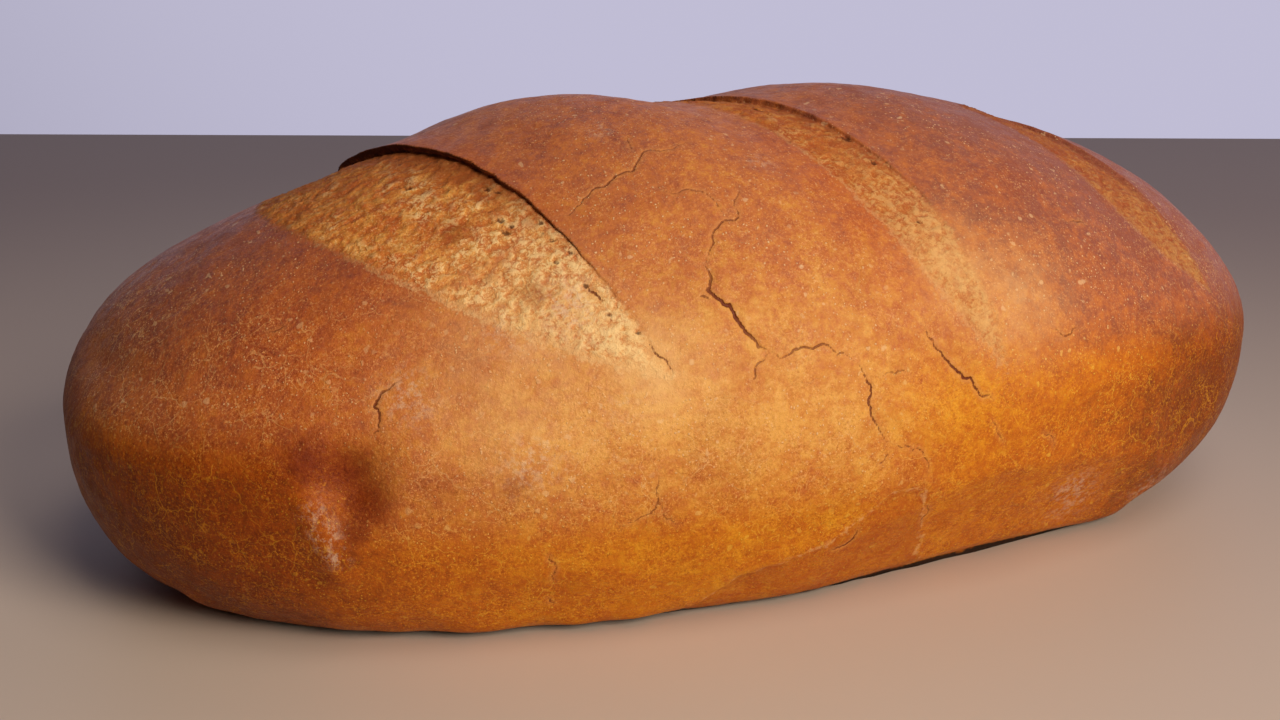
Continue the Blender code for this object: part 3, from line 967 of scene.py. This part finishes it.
def floor_look(look, inward, along):
    """The torn floors of the cuts: golden with pale flakes, browner beside the lip, with painted
    shade close under it.
    """
    blotch = look.noise(210, 4, 0.66, look.warped(110, 0.005))
    base = look.ramp(blotch, [(0.38, FLOOR_GOLD), (0.49, FLOOR_AMBER), (0.61, FLOOR_RUST)])
    flake = look.noise(820, 3, 0.76, look.warped(520, 0.0024))
    crumbs = look.times_plus(look.attribute("torn"), 0.14, flake)
    grain = look.noise(1700, 2, 0.8)
    wide = look.noise(85, 3, 0.6, look.warped(50, 0.01))
    pale = look.times_plus(look.step(along, 0.05, 0.9), 0.2, wide)
    pale = look.times(look.step(pale, 0.48, 0.66), look.step(crumbs, 0.49, 0.61))

    # Painted shade: beside the lip the floor is browner crust and darkened further for the shade
    # under the lip (brown), darkest close under it (shaded).
    brown = look.times_plus(look.centred(blotch), 0.8, inward)
    brown = look.times(look.step(brown, 0.55, 1), look.step(along, 0.8, 0.25))
    shaded = look.times(look.step(inward, 0.76, 1), look.step(along, 0.8, 0.4))
    pits = look.times(flake_factor(look, *PITS), look.step(inward, 0.45, 0.8))
    behind_crest = look.step(along, 0.22, -0.1)
    tip = look.times(look.step(along, 0.4, 0.95), look.step(crumbs, 0.3, 0.55))
    base = look.over(
        base,
        (look.step(crumbs, 0.52, 0.36), 0.6, FLOOR_RUST),
        (look.step(grain, 0.53, 0.74), 0.65, FLOOR_CREAM),
        (look.step(grain, 0.48, 0.3), 0.5, FLOOR_BROWN),
        (pale, 0.8, FLOOR_CREAM),
        (brown, 0.85, FLOOR_BROWN),
        (shaded, 0.6, FLOOR_SHADED),
        (pits, 0.6, PORE_DARK),
        (behind_crest, 0.45, FLOOR_BROWN),
        (tip, 0.55, CREAM))
    return base, crumbs


def scorched(look, base, scorch):
    """The redder, darker spots, patchy."""
    patchy = look.times_plus(look.noise(560, 4, 0.8), 1.5, look.noise(95, 3, 0.6))
    dark = look.times(look.step(look.times_plus(patchy, 0.9, scorch), 1.3, 2), scorch)
    return look.mix(dark, base, SCORCHED, "MULTIPLY")


def cut_floors(look, base, scorch, ragged):
    """The floors of the cuts in the skin, with a ragged, pale edge opposite the lip."""
    along = look.attribute("along")
    inward = look.attribute("inward")
    fresh = look.attribute("fresh")
    edge = look.times_plus(ragged, 6, look.attribute("inside"))
    floor = look.step(edge, -1, 2.2)
    shade, crumbs = floor_look(look, inward, along)
    shade = look.mix(look.step(fresh, 1, 0.4), shade, FLOOR_STALE, "MULTIPLY")
    base = look.over(base, (floor, look.times_plus(fresh, 0.65, 0.35), shade))
    base = scorched(look, base, scorch)

    hem = look.times(look.step(edge, -0.6, 0.1), look.step(edge, 1, 0.2))
    hem = look.times(hem, look.step(inward, 0.5, 0.2))
    hem = look.times(hem, look.step(along, 0.1, 0.5))
    return look.over(base, (hem, look.times(fresh, 0.3), FLOOR_CREAM)), floor, crumbs


def dusting(look, base):
    """Flour, and pale golden patches at the ends of the cuts, partly painted light."""
    dust = look.step(look.noise(520, 4, 0.75), 0.46, 0.62, 0, 0.85)
    uneven = look.step(look.noise(150, 4, 0.7), 0.3, 0.62, 0.35, 0.85)
    return look.over(base, (look.attribute("flour"), dust, FLOUR_WHITE),
                     (look.attribute("pale_and_lit"), uneven, FLOOR_PALE_AND_LIT))


def edges(look, base, ragged):
    """The redder lips with the walls under them, darker crust with painted shade, the torn ledge,
    and the foot's lowest edge darkened as painted contact shade.
    """
    # wall: the lips' darker walls, with the painted shade under them and at their foot
    wall = look.times_plus(ragged, 1.2, look.attribute("wall"))
    strip = look.attribute("strip")
    ledge = look.times(strip, look.math("SUBTRACT", 1, strip))
    torn = look.step(look.noise(600, 3, 0.7), 0.42, 0.6, 0, 1.9)
    uneven = look.centred(look.noise(150, 3, 0.7))
    # foot: the lowest few millimetres of the crust, darkened as painted contact shade
    foot = look.times_plus(uneven, 3.6, look.attribute("foot"))
    return look.over(
        base,
        (look.attribute("ear"), 0.45, RUST),
        (look.step(wall, 0.2, 0.75), 0.9, WALL_DARK_AND_SHADE),
        (strip, 0.35, RUST),
        (ledge, torn, VEIN),
        (look.step(foot, 2.1, 1.1), 1, PAINTED_FOOT_SHADE))


def cracks_and_pores(look, base):
    """Cracks and pores, whose edges noise roughens."""
    opened = look.attribute("opened")
    shake = look.centred(look.noise(1400, 2, 0.6))
    away = look.times_plus(shake, 0.45, look.attribute("crack"))
    rim = look.times(look.step(away, 1.3, 0.1), opened)
    crack = look.times(look.step(away, 0.1, -0.12), opened)
    pore = look.times_plus(shake, 1.2, look.attribute("pore"))
    base = look.over(base, (rim, 0.4, TAN), (crack, 1, CRACK_DARK),
                       (look.step(pore, 0.25, -0.3), 0.8, PORE_DARK))
    return base, crack


def crust_bump(look, raised, plates, floor, crumbs, crack):
    """The finest relief, as a bump."""
    height = 0
    for scale, detail, roughness, rise in GRAIN_RELIEF:
        height = look.times_plus(look.noise(scale, detail, roughness), rise, height)
    for part, rise in ((raised, FLECK_RISE), (plates, PLATE_RISE),
                       (look.times(floor, crumbs), CRUMB_RISE), (crack, CRACK_DROP)):
        height = look.times_plus(part, rise, height)
    bump = look.node("ShaderNodeBump")
    look.feed(bump.inputs["Strength"], BUMP_STRENGTH)
    look.feed(bump.inputs["Distance"], 0.001)
    look.feed(bump.inputs["Height"], height)
    return bump.outputs["Normal"]


def crust_material():
    """The baked crust, from its smooth skin to the torn floors of the cuts."""
    material = bpy.data.materials.new("crust")
    look = Look(material, "Principled BSDF")
    net = look.attribute("net")
    scorch = look.attribute("scorch")
    ragged = look.centred(look.noise(420, 4, 0.75))
    base = skin_colour(look, net)
    base, raised, plates = skin_marks(look, base, net, scorch)
    base, floor, crumbs = cut_floors(look, base, scorch, ragged)
    base = dusting(look, base)
    base = edges(look, base, ragged)
    base, crack = cracks_and_pores(look, base)
    look.feed(look.inputs["Base Color"], base)

    rough = look.step(look.noise(240, 3), 0.3, 0.7, 0.4, 0.56)
    look.feed(look.inputs["Roughness"], look.times_plus(floor, 0.25, rough))
    normal = crust_bump(look, raised, plates, floor, crumbs, crack)
    look.feed(look.inputs["Normal"], normal)
    look.feed(look.inputs["Specular IOR Level"], SHINE)
    return material


def in_scene(name, data):
    """A new object in the scene."""
    made = bpy.data.objects.new(name, data)
    bpy.context.scene.collection.objects.link(made)
    return made


def loaf_crust():
    """The loaf as one fine mesh, which stands for the solid."""
    mesh = ball_mesh()
    for level in (0, 1):
        refine(mesh, level)
    shape_crust(mesh)
    mesh.shade_smooth()
    mesh.materials.append(crust_material())
    return in_scene("loaf_crust", mesh)


# ---- camera, floor and light


# The floor's colours near this point and far from it, a painted falloff of light,
# and the distances between
FLOOR_NEAR_LIT = colour(210, 192, 180)
FLOOR_DISTANT_SHADE = colour(136, 116, 108)
FLOOR_MIDDLE = (-0.16, -0.2, 0)
FLOOR_CHANGE = (0.1, 0.75)
FLOOR_ROUGHNESS = 0.55

# Soft square lights: place, size, power in watts, tint
LIGHTS = {
    "key": ((0.39, -1.01, 0.61), 0.55, 12.8, (1, 0.89, 0.73)),
    "top": ((0.12, -0.45, 1.13), 0.6, 3, (1, 0.9, 0.78)),
}
LIGHT_AIM = (0, 0, 0.05)


def place_camera():
    """The camera, low in front of the loaf's left half."""
    data = bpy.data.cameras.new("camera")
    data.lens = LENS
    data.sensor_width = SENSOR
    data.clip_start = 0.01
    camera = in_scene("camera", data)
    turn, drop = math.radians(CAMERA_TURN), math.radians(CAMERA_DROP)
    level = math.cos(drop)
    forward = Vector((math.sin(turn) * level, math.cos(turn) * level, -math.sin(drop)))
    camera.location = CAMERA_PLACE
    camera.rotation_mode = "QUATERNION"
    camera.rotation_quaternion = forward.to_track_quat("-Z", "Y")
    bpy.context.scene.camera = camera


def pale_floor():
    """A plain pale floor."""
    bm = bmesh.new()
    bmesh.ops.create_grid(bm, x_segments=8, y_segments=8, size=FLOOR_SIZE / 2)
    mesh = bpy.data.meshes.new("floor")
    bm.to_mesh(mesh)
    bm.free()
    mesh.materials.append(floor_material())
    floor = in_scene("floor", mesh)
    turn = math.radians(CAMERA_TURN)
    ahead = FLOOR_FAR - FLOOR_SIZE / 2
    floor.location = (CAMERA_PLACE[0] + math.sin(turn) * ahead,
                      CAMERA_PLACE[1] + math.cos(turn) * ahead, 0)
    floor.rotation_euler = (0, 0, -turn - math.radians(FLOOR_SKEW))
    return floor


def floor_material():
    """Matt and pale, with a painted falloff of light: darker further away."""
    material = bpy.data.materials.new("pale floor")
    look = Look(material, "Principled BSDF")
    position = look.node("ShaderNodeNewGeometry").outputs["Position"]
    away = look.vector("DISTANCE", position, FLOOR_MIDDLE, output="Value")
    tone = look.mix(look.step(away, *FLOOR_CHANGE), FLOOR_NEAR_LIT, FLOOR_DISTANT_SHADE)
    look.feed(look.inputs["Base Color"], tone)
    look.feed(look.inputs["Roughness"], FLOOR_ROUGHNESS)
    return material


def area_light(name, place, size, power, tint):
    """A soft square light at place, facing the loaf."""
    data = bpy.data.lights.new(name, "AREA")
    data.size = size
    data.energy = power
    data.color = tint
    light = in_scene(name, data)
    light.location = place
    facing = Vector(LIGHT_AIM) - Vector(place)
    light.rotation_euler = facing.to_track_quat("-Z", "Y").to_euler()


def surroundings():
    """The dim room with the pale wall, of which matt surfaces get only a share."""
    world = bpy.data.worlds.new("surroundings")
    bpy.context.scene.world = world
    look = Look(world, "Background")
    turn, rise = math.radians(WALL_TURN), math.radians(WALL_RISE)
    level = math.cos(rise)
    brightest = (math.sin(turn) * level, math.cos(turn) * level, math.sin(rise))
    facing = look.vector("DOT_PRODUCT", look.places["Generated"], brightest, output="Value")
    tint = look.mix(look.step(facing, *WALL_EDGE), ROOM_LIGHT, WALL_LIGHT)
    look.feed(look.inputs["Color"], tint)
    on_matt = look.node("ShaderNodeLightPath").outputs["Is Diffuse Ray"]
    look.feed(look.inputs["Strength"], look.step(on_matt, 0, 1, 1, WALL_SPREAD))


def soft_light():
    """Soft studio light: a key in front, a weaker top light, and the pale wall."""
    surroundings()
    for name, (place, size, power, tint) in LIGHTS.items():
        area_light(name, place, size, power, tint)


def main():
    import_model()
    place_camera()
    crust = loaf_crust()
    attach(crust, "root")
    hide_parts("loaf")
    pale_floor()
    soft_light()
    bpy.context.scene.view_settings.view_transform = "Standard"


main()
